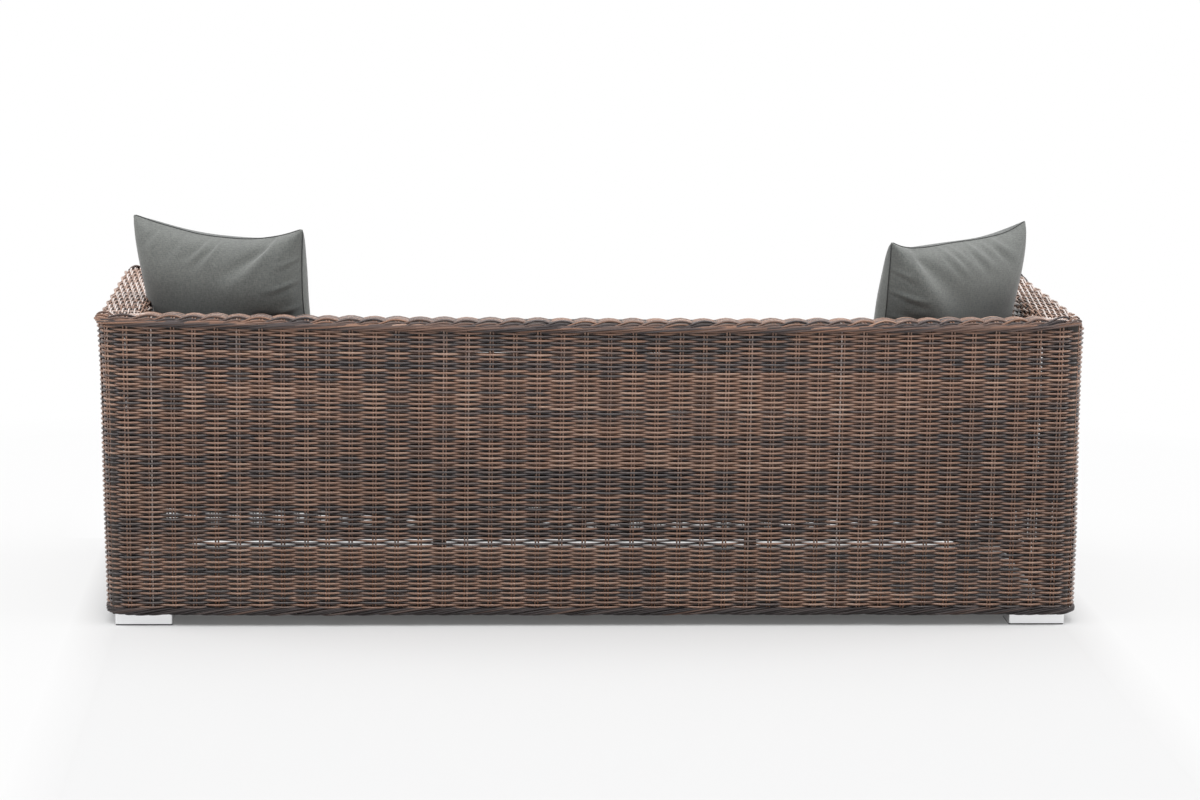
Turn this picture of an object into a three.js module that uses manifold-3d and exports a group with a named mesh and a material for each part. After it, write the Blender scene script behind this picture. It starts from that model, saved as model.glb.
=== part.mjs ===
import * as THREE from "three";
import { mergeVertices } from "three/addons/utils/BufferGeometryUtils.js";
import Module from "manifold-3d";

// A garden sofa: a welded tube frame inside a woven shell, four metal feet, three loose
// seat cushions and two throw pillows that stand in the corners.
// Millimetres, +Z up, X along the width, the back at +Y and the open front at -Y.
// Left and right are those of somebody who sits on the sofa, so left is +X.

// Overall size of the shell, over its hems and rolled edges
const sofaWidth = 2100;
const sofaDepth = 800;
const sofaHeight = 675;
const wallThickness = 95;
const cornerRadius = 20;

// The woven skin, and the hems that its stakes are turned down into
const skinThickness = 14;
const hemProjection = 3;
const hemHeight = 18;
const topThickness = 16;
const topRollShare = 0.44;
const hemRoundShare = 0.4;
const cornerSteps = 5;
const rollSteps = 3;

// Stakes stand in the weave, and the strands swing inward to pass behind them, so each wall
// has a groove along every stake and bulges in between
const grooveDepth = 4.5;
const grooveWidthShare = 0.5;
const backColumns = 43;
const armColumns = 16;
const apronColumns = 38;
const armFrontColumns = 2;

// Height of the woven seat above the ground, without its cushions
const deckHeight = 285;

// Square tube of the frame
const tubeSize = 25;
const tubeWall = 1.5;
const tubeCornerRadius = 3;
const tubeCornerSteps = 2;
const seatBearerCount = 3;
const backUprightCount = 2;

// Feet: a pressed metal cap over a plastic glide, screwed up into a bottom rail
const footHeight = 25;
const footWidth = 122;
const footDepth = 80;
const footEndInset = 23;
const footFaceInset = 15;
const footWall = 3;
const footCornerRadius = 5;
const glideThickness = 3;
const glideInset = 1;
const glidePlugHeight = 6;
const plugClearance = 0.4;

// Foot screw, with its place along the width measured from the sofa's end
const screwEndInset = 110;
const screwDiameter = 6;
const screwLength = 14;
const screwHeadDiameter = 11;
const screwHeadHeight = 4;
const screwSocketAcross = 4.6;
const screwSocketDepth = 2.4;
const screwClearance = 0.3;
const screwSteps = 24;
const socketSides = 6;

// Seat cushions
const cushionNames = ["right", "middle", "left"];
const cushionThickness = 108;
const cushionCrown = 10;
const cushionDrawIn = 5;
const cushionEdgeRound = 9;
const cushionFrontInset = 8;
const cushionClearance = 1;
const cushionSteps = 14;
const cushionBandSteps = 4;

// Throw pillows: knife edged, drawn in between their four corners
const pillowSize = 450;
const pillowThickness = 150;
const pillowDrawIn = 24;
const pillowSeam = 3;
const pillowRestShare = 0.25;
const pillowRoundness = 0.5;
const pillowClearance = 0.3;
const pillowSteps = 16;
const pillowLean = 12;
const pillowPoses = { left: { turn: 33, roll: 0 }, right: { turn: 39, roll: -2 } };

// Cuts run this far past the material that they clear
const overrun = 10;

const wasm = await Module();
wasm.setup();

function toSolid(geometry) {
  const bare = geometry.clone();
  bare.deleteAttribute("normal");
  bare.deleteAttribute("uv");
  const welded = mergeVertices(bare);
  return new wasm.Manifold(new wasm.Mesh({
    numProp: 3,
    vertProperties: Float32Array.from(welded.attributes.position.array),
    triVerts: Uint32Array.from(welded.index.array),
  }));
}

function toGeometry(solid) {
  const mesh = solid.getMesh();
  const geometry = new THREE.BufferGeometry();
  geometry.setAttribute("position", new THREE.BufferAttribute(mesh.vertProperties, 3));
  geometry.setIndex(new THREE.BufferAttribute(mesh.triVerts, 1));
  geometry.computeVertexNormals();
  return geometry;
}

function boxBetween(low, high) {
  const size = high.map((value, k) => value - low[k]);
  const box = new THREE.BoxGeometry(...size);
  box.translate(...low.map((value, k) => value + size[k] / 2));
  return box;
}

function keepBetween(solid, low, high) {
  return toGeometry(solid.intersect(toSolid(boxBetween(low, high))));
}

// Outlines of the grooves between the columns of a wall that faces +Y, centred on X
function grooveOutlines(span, columns) {
  const pitch = span / columns;
  const half = pitch * grooveWidthShare / 2;
  return Array.from({ length: columns - 1 }, (_, k) => {
    const x = pitch * (k + 1) - span / 2;
    return new THREE.Shape([
      new THREE.Vector2(x - half, overrun), new THREE.Vector2(x - half, 0),
      new THREE.Vector2(x, -grooveDepth),
      new THREE.Vector2(x + half, 0), new THREE.Vector2(x + half, overrun),
    ]);
  });
}

function roundedRectangle(width, depth, radius) {
  const shape = new THREE.Shape();
  const x = width / 2 - radius;
  const y = depth / 2 - radius;
  shape.absarc(x, y, radius, 0, Math.PI / 2);
  shape.absarc(-x, y, radius, Math.PI / 2, Math.PI);
  shape.absarc(-x, -y, radius, Math.PI, Math.PI * 3 / 2);
  shape.absarc(x, -y, radius, Math.PI * 3 / 2, Math.PI * 2);
  shape.closePath();
  return shape;
}

function raise(shape, low, height, steps) {
  const block = new THREE.ExtrudeGeometry(shape, { depth: height, bevelEnabled: false, curveSegments: steps });
  block.translate(0, 0, low);
  return block;
}

function raiseRounded(shape, low, height, round, steps) {
  const block = new THREE.ExtrudeGeometry(shape, {
    depth: height - 2 * round,
    bevelThickness: round,
    bevelSize: round,
    bevelOffset: -round,
    bevelSegments: rollSteps,
    curveSegments: steps,
  });
  block.translate(0, 0, low + round);
  return block;
}

// Planes of the shell that every other piece is placed from
const endX = sofaWidth / 2;
const faceX = endX - hemProjection;
const skinInsideX = faceX - skinThickness;
const rollInsideX = endX - wallThickness;
const seatSideX = rollInsideX + hemProjection;
const seatSkinX = seatSideX + skinThickness;
const endY = sofaDepth / 2;
const faceY = endY - hemProjection;
const skinInsideY = faceY - skinThickness;
const rollInsideY = endY - wallThickness;
const seatSideY = rollInsideY + hemProjection;
const seatSkinY = seatSideY + skinThickness;
const skinTop = sofaHeight - topThickness;
const deckUnderside = deckHeight - skinThickness;
const past = { x: endX + overrun, y: endY + overrun, z: sofaHeight + overrun };

const finishes = {
  frame_tube: { color: 0x8c9094, metalness: 0.9, roughness: 0.45 },
  wicker: { color: 0x6b4a3a, metalness: 0, roughness: 0.5 },
  foot_metal: { color: 0xcfd2d6, metalness: 1, roughness: 0.3 },
  glide: { color: 0x1b1b1c, metalness: 0, roughness: 0.7 },
  screw: { color: 0xb4b7ba, metalness: 1, roughness: 0.35 },
  cushion_cloth: { color: 0x686c6a, metalness: 0, roughness: 0.95 },
  pillow_cloth: { color: 0x5f6462, metalness: 0, roughness: 0.95 },
};

const group = new THREE.Group();
group.name = "garden_sofa";

function addPiece(name, finish, geometry) {
  const mesh = new THREE.Mesh(geometry, new THREE.MeshStandardMaterial(finishes[finish]));
  mesh.name = name;
  group.add(mesh);
}

const sides = [["left", 1], ["right", -1]];
const ends = [["rear", 1], ["front", -1]];

// Moves the mirrored piece's corner pair back into rising order
function acrossX(side, low, high) {
  const x = [low[0] * side, high[0] * side].sort((a, b) => a - b);
  return [[x[0], low[1], low[2]], [x[1], high[1], high[2]]];
}

// The frame's tube fills a box that is one tube square across its run
function tubeBetween(low, high) {
  const size = high.map((value, k) => value - low[k]);
  const run = size.indexOf(Math.max(...size));
  const section = roundedRectangle(tubeSize, tubeSize, tubeCornerRadius);
  const bore = tubeSize - 2 * tubeWall;
  section.holes.push(roundedRectangle(bore, bore, tubeCornerRadius - tubeWall));
  const tube = raise(section, -size[run] / 2, size[run], tubeCornerSteps);
  if (run === 0) tube.rotateY(Math.PI / 2);
  if (run === 1) tube.rotateX(Math.PI / 2);
  tube.translate(...low.map((value, k) => value + size[k] / 2));
  return tube;
}

function addTube(name, low, high) {
  addPiece(name, "frame_tube", tubeBetween(low, high));
}

// Screw holes through the lower wall of a bottom rail
function drillRail(rail, railY) {
  let solid = toSolid(rail);
  for (const [, side] of sides) {
    const drill = new THREE.CylinderGeometry(
      screwDiameter / 2 + screwClearance, screwDiameter / 2 + screwClearance, 2 * overrun, screwSteps);
    drill.rotateX(Math.PI / 2);
    drill.translate(side * (endX - screwEndInset), railY, footHeight);
    solid = solid.subtract(toSolid(drill));
  }
  return toGeometry(solid);
}

const outerTubeX = skinInsideX - tubeSize;
const outerTubeY = skinInsideY - tubeSize;
const innerTubeX = seatSkinX + tubeSize;
const innerTubeY = seatSkinY + tubeSize;
const railTop = footHeight + tubeSize;
const topRailLow = skinTop - tubeSize;
const seatRailLow = deckUnderside - tubeSize;

for (const [sideName, side] of sides) {
  for (const [endName, end] of ends) {
    const outerY = end > 0 ? [outerTubeY, skinInsideY] : [-skinInsideY, -outerTubeY];
    const innerY = end > 0 ? [seatSkinY, innerTubeY] : outerY;
    addTube(`${endName}_outer_post_${sideName}`, ...acrossX(side,
      [outerTubeX, outerY[0], footHeight], [skinInsideX, outerY[1], skinTop]));
    addTube(`${endName}_inner_post_${sideName}`, ...acrossX(side,
      [seatSkinX, innerY[0], footHeight], [innerTubeX, innerY[1], skinTop]));
  }
  addTube(`arm_top_rail_outer_${sideName}`, ...acrossX(side,
    [outerTubeX, -outerTubeY, topRailLow], [skinInsideX, outerTubeY, skinTop]));
  addTube(`arm_top_rail_inner_${sideName}`, ...acrossX(side,
    [seatSkinX, -outerTubeY, topRailLow], [innerTubeX, seatSkinY, skinTop]));
  addTube(`arm_bottom_rail_${sideName}`, ...acrossX(side,
    [outerTubeX, -outerTubeY, footHeight], [skinInsideX, outerTubeY, railTop]));
  addTube(`arm_seat_rail_${sideName}`, ...acrossX(side,
    [seatSkinX - tubeSize, -outerTubeY, seatRailLow], [seatSkinX, seatSkinY - tubeSize, deckUnderside]));
}

addTube("back_top_rail_outer", [-outerTubeX, outerTubeY, topRailLow], [outerTubeX, skinInsideY, skinTop]);
addTube("back_top_rail_inner", [-seatSkinX, seatSkinY, topRailLow], [seatSkinX, innerTubeY, skinTop]);
addTube("back_seat_rail",
  [-innerTubeX, seatSkinY - tubeSize, seatRailLow], [innerTubeX, seatSkinY, deckUnderside]);
addTube("front_seat_rail", [-seatSkinX, -skinInsideY, seatRailLow], [seatSkinX, -outerTubeY, deckUnderside]);

const backRail = tubeBetween([-outerTubeX, outerTubeY, footHeight], [outerTubeX, skinInsideY, railTop]);
addPiece("back_bottom_rail", "frame_tube", drillRail(backRail, skinInsideY - tubeSize / 2));
const frontRail = tubeBetween([-seatSkinX, -skinInsideY, footHeight], [seatSkinX, -outerTubeY, railTop]);
addPiece("front_bottom_rail", "frame_tube", drillRail(frontRail, -skinInsideY + tubeSize / 2));

for (let k = 0; k < seatBearerCount; k += 1) {
  const x = seatSkinX * (2 * (k + 1) / (seatBearerCount + 1) - 1) - tubeSize / 2;
  addTube(`seat_bearer_${k + 1}`,
    [x, -outerTubeY, seatRailLow], [x + tubeSize, seatSkinY - tubeSize, deckUnderside]);
}

for (let k = 0; k < backUprightCount; k += 1) {
  const x = outerTubeX * (2 * (k + 1) / (backUprightCount + 1) - 1) - tubeSize / 2;
  addTube(`back_upright_${k + 1}`, [x, outerTubeY, railTop], [x + tubeSize, skinInsideY, topRailLow]);
}

// Cuts the stakes' grooves into a wall whose face looks along the turned +Y
function grooveWall(wall, columns, span, faceTurn, place) {
  const grooves = raise(grooveOutlines(span, columns), footHeight + hemHeight, sofaHeight, 1);
  grooves.rotateZ(faceTurn);
  grooves.translate(place.x, place.y, 0);
  return toGeometry(toSolid(wall).subtract(toSolid(grooves)));
}

// The outer skin goes round the whole sofa with its hem, and is then parted at the corners
const wallPlan = roundedRectangle(2 * faceX, 2 * faceY, cornerRadius - hemProjection);
const hemPlan = roundedRectangle(sofaWidth, sofaDepth, cornerRadius);
const wallBlock = raise(wallPlan, footHeight, skinTop - footHeight, cornerSteps);
const hemRound = hemHeight * hemRoundShare;
const hemBlock = raiseRounded(hemPlan, footHeight, hemHeight, hemRound, cornerSteps);
const hollow = boxBetween([-skinInsideX, -skinInsideY, -overrun], [skinInsideX, skinInsideY, past.z]);
const outerSkin = toSolid(wallBlock).add(toSolid(hemBlock)).subtract(toSolid(hollow));

const backWall = keepBetween(outerSkin, [-past.x, skinInsideY, 0], [past.x, past.y, past.z]);
addPiece("back_outer_weave", "wicker",
  grooveWall(backWall, backColumns, 2 * faceX, 0, { x: 0, y: faceY }));
const apron = keepBetween(outerSkin, [-seatSideX, -past.y, 0], [seatSideX, -skinInsideY, deckHeight]);
addPiece("front_apron_weave", "wicker",
  grooveWall(apron, apronColumns, 2 * seatSideX, Math.PI, { x: 0, y: -faceY }));
for (const [sideName, side] of sides) {
  const outward = -side * Math.PI / 2;
  const outerWall = keepBetween(outerSkin,
    ...acrossX(side, [skinInsideX, -skinInsideY, 0], [past.x, skinInsideY, past.z]));
  addPiece(`arm_outer_weave_${sideName}`, "wicker",
    grooveWall(outerWall, armColumns, 2 * faceY, outward, { x: side * faceX, y: 0 }));
  const frontWall = keepBetween(outerSkin,
    ...acrossX(side, [seatSideX, -past.y, 0], [past.x, -skinInsideY, past.z]));
  addPiece(`arm_front_weave_${sideName}`, "wicker",
    grooveWall(frontWall, armFrontColumns, faceX - seatSideX, Math.PI,
      { x: side * (faceX + seatSideX) / 2, y: -faceY }));
  const innerWall = boxBetween(
    ...acrossX(side, [seatSideX, -skinInsideY, deckHeight], [seatSkinX, seatSideY, skinTop]));
  addPiece(`arm_inner_weave_${sideName}`, "wicker",
    grooveWall(innerWall, armColumns, 2 * faceY, -outward, { x: side * seatSideX, y: 0 }));
}
const backRest = boxBetween([-seatSkinX, seatSideY, deckHeight], [seatSkinX, seatSkinY, skinTop]);
addPiece("back_inner_weave", "wicker",
  grooveWall(backRest, backColumns, 2 * faceX, Math.PI, { x: 0, y: seatSideY }));
addPiece("seat_deck_weave", "wicker",
  boxBetween([-seatSkinX, -skinInsideY, deckUnderside], [seatSkinX, seatSkinY, deckHeight]));

// The tops of the arms and the back are one woven cap with rolled edges, parted where the
// arms meet the back
const capShape = new THREE.Shape();
capShape.moveTo(-endX, -endY);
capShape.lineTo(-rollInsideX, -endY);
capShape.lineTo(-rollInsideX, rollInsideY);
capShape.lineTo(rollInsideX, rollInsideY);
capShape.lineTo(rollInsideX, -endY);
capShape.lineTo(endX, -endY);
capShape.absarc(endX - cornerRadius, endY - cornerRadius, cornerRadius, 0, Math.PI / 2);
capShape.absarc(-endX + cornerRadius, endY - cornerRadius, cornerRadius, Math.PI / 2, Math.PI);
capShape.closePath();
const topRoll = topThickness * topRollShare;
const cap = toSolid(raiseRounded(capShape, skinTop, topThickness, topRoll, cornerSteps));
addPiece("back_top_weave", "wicker",
  keepBetween(cap, [-past.x, rollInsideY, 0], [past.x, past.y, past.z]));
for (const [sideName, side] of sides) {
  addPiece(`arm_top_weave_${sideName}`, "wicker", keepBetween(cap,
    ...acrossX(side, [0, -past.y, 0], [past.x, rollInsideY, past.z])));
}

// Feet
function footCap() {
  const capHeight = footHeight - glideThickness;
  const body = toSolid(raise(roundedRectangle(footWidth, footDepth, footCornerRadius),
    glideThickness, capHeight, cornerSteps));
  const pocket = toSolid(raise(
    roundedRectangle(footWidth - 2 * footWall, footDepth - 2 * footWall, footCornerRadius - footWall),
    0, footHeight - footWall, cornerSteps));
  return body.subtract(pocket);
}

function footGlide() {
  const gap = 2 * (footWall + plugClearance);
  const sole = toSolid(raise(
    roundedRectangle(footWidth - 2 * glideInset, footDepth - 2 * glideInset, footCornerRadius - glideInset),
    0, glideThickness, cornerSteps));
  const plug = toSolid(raise(
    roundedRectangle(footWidth - gap, footDepth - gap, footCornerRadius - footWall),
    0, glideThickness + glidePlugHeight, cornerSteps));
  return toGeometry(sole.add(plug));
}

function footScrew() {
  const profile = [
    [0, 0], [screwHeadDiameter / 2, 0], [screwHeadDiameter / 2, screwHeadHeight],
    [screwDiameter / 2, screwHeadHeight], [screwDiameter / 2, screwHeadHeight + screwLength],
    [0, screwHeadHeight + screwLength],
  ];
  const body = new THREE.LatheGeometry(profile.map(([r, h]) => new THREE.Vector2(r, h)), screwSteps);
  body.rotateX(Math.PI / 2);
  const socket = new THREE.CylinderGeometry(
    screwSocketAcross / 2, screwSocketAcross / 2, 2 * screwSocketDepth, socketSides);
  socket.rotateX(Math.PI / 2);
  return toGeometry(toSolid(body).subtract(toSolid(socket)));
}

for (const [sideName, side] of sides) {
  for (const [endName, end] of ends) {
    const centreX = side * (endX - footEndInset - footWidth / 2);
    const centreY = end * (endY - footFaceInset - footDepth / 2);
    const screwX = side * (endX - screwEndInset);
    const screwY = end * (skinInsideY - tubeSize / 2);
    const hole = new THREE.CylinderGeometry(
      screwDiameter / 2 + screwClearance, screwDiameter / 2 + screwClearance, 2 * overrun, screwSteps);
    hole.rotateX(Math.PI / 2);
    hole.translate(screwX - centreX, screwY - centreY, footHeight);
    const foot = toGeometry(footCap().subtract(toSolid(hole)));
    const glide = footGlide();
    const screw = footScrew();
    foot.translate(centreX, centreY, 0);
    glide.translate(centreX, centreY, 0);
    screw.translate(screwX, screwY, footHeight - footWall - screwHeadHeight);
    addPiece(`foot_${endName}_${sideName}`, "foot_metal", foot);
    addPiece(`foot_glide_${endName}_${sideName}`, "glide", glide);
    addPiece(`foot_screw_${endName}_${sideName}`, "screw", screw);
  }
}

// Seat cushions share the width between the arms
const seatSpan = 2 * (rollInsideX - cushionClearance);
const cushionPitch = seatSpan / cushionNames.length;
const cushionWidth = cushionPitch - cushionClearance;
const cushionFrontY = -endY + cushionFrontInset;
const cushionBackY = rollInsideY - cushionClearance;
const cushionDepth = cushionBackY - cushionFrontY;
const cushionMiddleY = (cushionBackY + cushionFrontY) / 2;

function crownAt(a, b) {
  return cushionCrown * Math.max(0, 1 - a * a) * Math.max(0, 1 - b * b);
}

function seatCushion() {
  const form = new THREE.BoxGeometry(1, 1, 1, cushionSteps, cushionSteps, cushionBandSteps);
  const place = form.attributes.position;
  for (let k = 0; k < place.count; k += 1) {
    const a = 2 * place.getX(k);
    const b = 2 * place.getY(k);
    const c = 2 * place.getZ(k);
    const edge = cushionEdgeRound * c * c;
    const x = a * (cushionWidth / 2 - cushionDrawIn * (1 - b * b) - edge);
    const y = b * (cushionDepth / 2 - cushionDrawIn * (1 - a * a) - edge);
    const z = cushionThickness * (c + 1) / 2 + Math.max(0, c) * crownAt(a, b);
    place.setXYZ(k, x, y, z);
  }
  return form;
}

cushionNames.forEach((name, k) => {
  const cushion = seatCushion();
  const x = -seatSpan / 2 + cushionPitch * (k + 0.5);
  cushion.translate(x, cushionMiddleY, deckHeight);
  addPiece(`seat_cushion_${name}`, "cushion_cloth", toGeometry(toSolid(cushion)));
});

// Throw pillows
function throwPillow() {
  const form = new THREE.BoxGeometry(1, 1, 1, pillowSteps, pillowSteps, 1);
  const place = form.attributes.position;
  for (let k = 0; k < place.count; k += 1) {
    const a = Math.sin(Math.PI * place.getX(k));
    const b = Math.sin(Math.PI * place.getY(k));
    const fill = Math.pow(Math.max(0, (1 - a * a) * (1 - b * b)), pillowRoundness);
    const underside = b < 0 ? pillowRestShare : 1;
    const x = a * (pillowSize / 2 - pillowDrawIn * (1 - b * b));
    const y = b * (pillowSize / 2 - pillowDrawIn * (1 - a * a) * underside);
    const z = place.getZ(k) * (pillowSeam + (pillowThickness - pillowSeam) * fill);
    place.setXYZ(k, x, y, z);
  }
  return form;
}

// The farthest reach along one direction of what lies below a height
function reachBelow(geometry, height, measure) {
  const place = geometry.attributes.position;
  const order = geometry.index;
  let reach = -Infinity;
  for (let k = 0; k < order.count; k += 1) {
    const next = k % 3 === 2 ? k - 2 : k + 1;
    const from = new THREE.Vector3().fromBufferAttribute(place, order.getX(k));
    const to = new THREE.Vector3().fromBufferAttribute(place, order.getX(next));
    if (from.z < height) reach = Math.max(reach, measure(from));
    if ((from.z - height) * (to.z - height) < 0) {
      reach = Math.max(reach, measure(from.lerp(to, (height - from.z) / (to.z - from.z))));
    }
  }
  return reach;
}

function dropOnCushion(pillow, cushionX) {
  const place = pillow.attributes.position;
  let room = Infinity;
  for (let k = 0; k < place.count; k += 1) {
    const a = (place.getX(k) - cushionX) / (cushionWidth / 2 - cushionEdgeRound);
    const b = (place.getY(k) - cushionMiddleY) / (cushionDepth / 2 - cushionEdgeRound);
    room = Math.min(room, place.getZ(k) - (deckHeight + cushionThickness + crownAt(a, b)));
  }
  pillow.translate(0, 0, pillowClearance - room);
}

const settlePasses = 4;
for (const [sideName, side] of sides) {
  const pose = pillowPoses[sideName];
  const cushionX = side * (seatSpan - cushionPitch) / 2;
  const pillow = throwPillow();
  pillow.rotateZ(-side * THREE.MathUtils.degToRad(pose.roll));
  pillow.rotateX(Math.PI / 2 - THREE.MathUtils.degToRad(pillowLean));
  pillow.rotateZ(-side * THREE.MathUtils.degToRad(pose.turn));
  pillow.translate(cushionX, cushionMiddleY, deckHeight + cushionThickness + pillowSize);
  for (let pass = 0; pass < settlePasses; pass += 1) {
    dropOnCushion(pillow, cushionX);
    const outward = reachBelow(pillow, sofaHeight, (point) => side * point.x);
    const backward = reachBelow(pillow, sofaHeight, (point) => point.y);
    pillow.translate(side * (rollInsideX - pillowClearance - outward),
      rollInsideY - pillowClearance - backward, 0);
  }
  dropOnCushion(pillow, cushionX);
  addPiece(`throw_pillow_${sideName}`, "pillow_cloth", toGeometry(toSolid(pillow)));
}

export default group;
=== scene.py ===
import math
import bpy
import numpy as np
from mathutils import Matrix, Vector


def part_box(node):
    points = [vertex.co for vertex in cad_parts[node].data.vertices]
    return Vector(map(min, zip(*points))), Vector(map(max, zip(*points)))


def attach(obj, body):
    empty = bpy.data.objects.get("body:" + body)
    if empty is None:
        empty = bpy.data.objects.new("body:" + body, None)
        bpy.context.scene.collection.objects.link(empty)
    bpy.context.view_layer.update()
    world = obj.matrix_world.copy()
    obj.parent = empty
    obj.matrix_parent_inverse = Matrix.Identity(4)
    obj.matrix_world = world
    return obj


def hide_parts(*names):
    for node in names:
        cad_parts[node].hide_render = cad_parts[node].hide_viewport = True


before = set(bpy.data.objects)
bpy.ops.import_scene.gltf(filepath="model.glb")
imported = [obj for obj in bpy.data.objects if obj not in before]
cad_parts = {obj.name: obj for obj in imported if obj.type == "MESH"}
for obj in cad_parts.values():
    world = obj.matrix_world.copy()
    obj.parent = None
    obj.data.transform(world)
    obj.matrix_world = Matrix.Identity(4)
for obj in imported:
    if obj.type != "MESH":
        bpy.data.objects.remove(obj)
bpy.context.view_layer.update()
scene = bpy.context.scene
scene.view_settings.view_transform = "Standard"

# Camera: the photograph is taken from behind the sofa, a little above its back
cameraView = {
    "place": (0.4412, 7.2342, 1.6975), "yaw": -3.733, "pitch": 9.948, "roll": 0.842,
    "focalPixels": 3264.0, "imageWidth": 1200, "sensor": 36.0, "reach": 60}


def addCamera(settings):
    yaw, pitch, roll = (math.radians(settings[key]) for key in ("yaw", "pitch", "roll"))
    data = bpy.data.cameras.new("photoCamera")
    data.sensor_width = settings["sensor"]
    data.lens = settings["focalPixels"] / settings["imageWidth"] * settings["sensor"]
    data.clip_end = settings["reach"]
    camera = bpy.data.objects.new("photoCamera", data)
    scene.collection.objects.link(camera)
    aim = Matrix.Rotation(math.pi + yaw, 4, "Z") @ Matrix.Rotation(math.pi / 2 - pitch, 4, "X")
    camera.matrix_world = Matrix.Translation(settings["place"]) @ aim @ Matrix.Rotation(roll, 4, "Z")
    scene.camera = camera


addCamera(cameraView)
print("camera set")


# Shader building: an expression on values adds its nodes
def operation(kind, flip=False):
    def apply(value, other):
        return value.maths(kind, other, flip=flip)
    return apply


class Value:
    def __init__(self, tree, socket):
        self.tree, self.socket = tree, socket

    def maths(self, kind, *others, flip=False):
        parts = [self, *others]
        if flip:
            parts.reverse()
        return self.tree.add("ShaderNodeMath", {"operation": kind}, *parts)

    __add__ = __radd__ = operation("ADD")
    __sub__ = operation("SUBTRACT")
    __rsub__ = operation("SUBTRACT", flip=True)
    __mul__ = __rmul__ = operation("MULTIPLY")
    __truediv__ = operation("DIVIDE")

    def clamped(self):
        return self.tree.add("ShaderNodeClamp", {}, self)


class Finish:
    def __init__(self, name, world=None):
        self.material = world or bpy.data.materials.new(name)
        self.material.use_nodes = True
        self.nodes = self.material.node_tree.nodes
        self.links = self.material.node_tree.links
        self.shader = self.nodes["Background" if world else "Principled BSDF"]

    def feed(self, socket, value):
        if isinstance(value, Value):
            self.links.new(value.socket, socket)
        else:
            socket.default_value = value

    def add(self, kind, settings, *values, out=0, **named):
        node = self.nodes.new(kind)
        for key, value in settings.items():
            setattr(node, key, value)
        for socket, value in zip(node.inputs, values):
            self.feed(socket, value)
        for key, value in named.items():
            self.feed(node.inputs[key.replace("_", " ")], value)
        found = [Value(self, socket) for socket in node.outputs]
        return found if out is None else found[out]

    def place(self):
        return self.add("ShaderNodeTexCoord", {}, out=3)

    def noise(self, where, scale, detail=3, roughness=0.55):
        return self.add("ShaderNodeTexNoise", {}, Vector=where, Scale=scale, Detail=detail,
                        Roughness=roughness)

    def stretched(self, where, factors):
        return self.add("ShaderNodeMapping", {}, Vector=where, Scale=factors)

    def mix(self, factor, first, second, blend="MIX"):
        node = self.nodes.new("ShaderNodeMix")
        node.data_type, node.blend_type = "RGBA", blend
        self.feed(node.inputs[0], factor)
        self.feed(node.inputs[6], first if isinstance(first, Value) else (*first, 1))
        self.feed(node.inputs[7], second if isinstance(second, Value) else (*second, 1))
        return Value(self, node.outputs[2])

    def ramp(self, factor, stops):
        found = self.add("ShaderNodeValToRGB", {}, factor)
        elements = found.socket.node.color_ramp.elements
        while len(elements) < len(stops):
            elements.new(0.5)
        for element, (place, colour) in zip(elements, stops):
            element.position, element.color = place, (*colour, 1)
        return found

    def bump(self, height, strength, distance):
        return self.add("ShaderNodeBump", {}, Height=height, Strength=strength, Distance=distance)

    def set(self, **values):
        for key, value in values.items():
            name = key.replace("_", " ")
            if name == "Base Color" and not isinstance(value, Value):
                value = (*value, 1)
            self.feed(self.shader.inputs[name], value)
        return self.material


strandFinish = {
    # Tones run from dark to pale; the pale top stop is reached mostly through the arm caps' painted
    # highlight
    "tones": [(0.0, (0.034, 0.028, 0.029)), (0.30, (0.090, 0.074, 0.073)),
              (0.68, (0.296, 0.166, 0.113)), (0.88, (0.43, 0.275, 0.205)),
              (1.0, (0.66, 0.57, 0.53))],
    # Painted shade: the strand colour is multiplied darker towards the bottom, most at the foot border and
    # again about a quarter metre up
    "paintedShadeByHeight": [(0.0, (0.58, 0.56, 0.55)), (0.05, (0.60, 0.58, 0.57)),
                 (0.085, (0.81, 0.80, 0.79)), (0.36, (0.70, 0.69, 0.68)),
                 (0.62, (0.84, 0.83, 0.82)), (0.85, (1.0, 1.0, 1.0))],
    "heightScale": 1.5, "mottles": [(900, 2, 0.10), (9, 3, 0.14)], "rubbed": (160, 2, 0.10),
    "coatRoughness": 0.14}


def makeStrandMaterial(name, roughness, coat, shine):
    f = Finish(name)
    where = f.place()
    tone = f.add("ShaderNodeAttribute", {"attribute_name": "tone"}, out=2)
    for scale, detail, most in strandFinish["mottles"]:
        tone = tone + (f.noise(where, scale, detail) * most - most / 2)
    # Painted shade: the colour is multiplied by a ramp on the height
    height = f.add("ShaderNodeSeparateXYZ", {}, where, out=2)
    paintedHeightShade = f.ramp(height * strandFinish["heightScale"], strandFinish["paintedShadeByHeight"])
    colour = f.ramp(tone.clamped(), strandFinish["tones"])
    scale, detail, most = strandFinish["rubbed"]
    rough = roughness + f.noise(where, scale, detail) * most
    return f.set(Base_Color=f.mix(1.0, colour, paintedHeightShade, "MULTIPLY"), Roughness=rough, Coat_Weight=coat,
                 Coat_Roughness=strandFinish["coatRoughness"], Specular_IOR_Level=shine)


wicker = makeStrandMaterial("wickerStrand", roughness=0.20, coat=0.12, shine=0.5)
wickerBorder = makeStrandMaterial("wickerBorder", roughness=0.42, coat=0.0, shine=0.25)


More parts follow.
